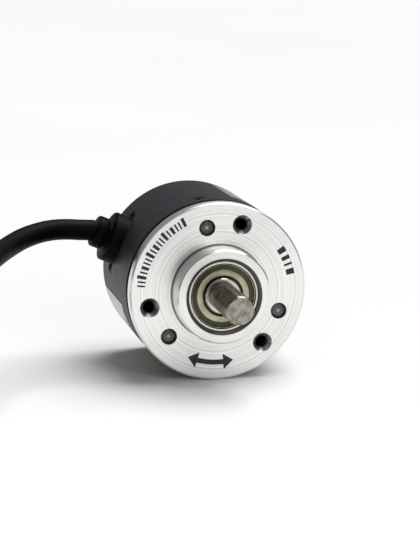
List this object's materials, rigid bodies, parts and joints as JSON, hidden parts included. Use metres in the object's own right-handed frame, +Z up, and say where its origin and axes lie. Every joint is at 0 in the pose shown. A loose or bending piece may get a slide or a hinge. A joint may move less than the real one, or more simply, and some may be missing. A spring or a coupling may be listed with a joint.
{
  "type": "rotary encoder",
  "caption": "Shaft encoder with a turned flange, a drawn cover, shielded ball bearings, an optical disc and sensor inside, and a moulded side outlet with its signal cable.",
  "frame": {"origin": "centre of the pilot boss, in the plane of the flange's mounting face", "axes": "shaft along Y with its free end towards -Y; +Z up; the cable leaves to the -X side"},
  "size_m": [0.1373, 0.0708, 0.0381],
  "materials": {
    "aluminium": "fine turned satin",
    "cover_grey": "satin dark grey powder",
    "label_foil": "metallised film",
    "gasket_black": "matt",
    "screw_steel": "plain zinc",
    "screw_black": "black oxide",
    "bearing_steel": "ground and polished",
    "shield_steel": "pressed sheet",
    "spring_steel": "spring steel",
    "shaft_steel": "turned and ground",
    "spacer_steel": "turned",
    "disc_metal": "etched foil",
    "optic_black": "moulded",
    "lamp_clear": "clear resin",
    "tinned_wire": "tinned",
    "reticle_dark": "film mask",
    "base_plastic": "glass-filled",
    "board_green": "solder mask",
    "passive_tan": "ceramic",
    "header_white": "moulded",
    "wire_colours": "coloured insulation",
    "grommet_rubber": "moulded",
    "crimp_steel": "plated",
    "sheath_black": "satin sheath",
    "tie_black": "plastic-coated"
  },
  "bodies": {
    "housing": {"flange": "aluminium", "cover": "cover_grey", "cover_gasket": "gasket_black", "cover_screws": "screw_black", "label": "label_foil", "base_screws": "screw_steel", "front_outer_race": "bearing_steel", "front_shields": "shield_steel", "rear_outer_race": "bearing_steel", "rear_shields": "shield_steel", "wave_washer": "spring_steel", "bearing_circlip": "spring_steel", "emitter_holder": "optic_black", "emitter_lamp": "lamp_clear", "emitter_leads": "tinned_wire", "reticle": "reticle_dark", "photodetector": "optic_black", "sensor_base": "base_plastic", "circuit_board": "board_green", "board_screws": "screw_steel", "comparator_chip": "optic_black", "driver_chip": "optic_black", "board_passives": "passive_tan", "wire_header": "header_white", "inner_leads": "wire_colours", "grommet": "grommet_rubber", "cable_stub": "sheath_black", "cable_crimp": "crimp_steel", "cable": "sheath_black", "cable_coil": "sheath_black", "coil_tie": "tie_black", "end_sleeve": "tie_black", "cable_leads": "wire_colours"},
    "rotor": {"shaft": "shaft_steel", "front_inner_race": "bearing_steel", "rear_inner_race": "bearing_steel", "inner_spacer": "spacer_steel", "shaft_circlip": "spring_steel", "disc_hub": "spacer_steel", "hub_screw": "screw_steel", "code_disc": "disc_metal", "disc_clamp": "spacer_steel"},
    "front_ball_set": {"front_cage": "shield_steel", "front_balls": "bearing_steel"},
    "rear_ball_set": {"rear_cage": "shield_steel", "rear_balls": "bearing_steel"}
  },
  "joints": [
    {"name": "shaft_spin", "type": "hinge", "parent": "housing", "child": "rotor", "pos_m": [0, 0, 0], "axis": [0, -1, 0], "continuous": true},
    {"name": "front_cage_spin", "type": "hinge", "parent": "housing", "child": "front_ball_set", "pos_m": [0, 0, 0], "axis": [0, -1, 0], "continuous": true},
    {"name": "rear_cage_spin", "type": "hinge", "parent": "housing", "child": "rear_ball_set", "pos_m": [0, 0, 0], "axis": [0, -1, 0], "continuous": true}
  ],
  "couplings": [
    {"joint": "front_cage_spin", "follows": "shaft_spin", "ratio": 0.3867},
    {"joint": "rear_cage_spin", "follows": "shaft_spin", "ratio": 0.3867}
  ]
}
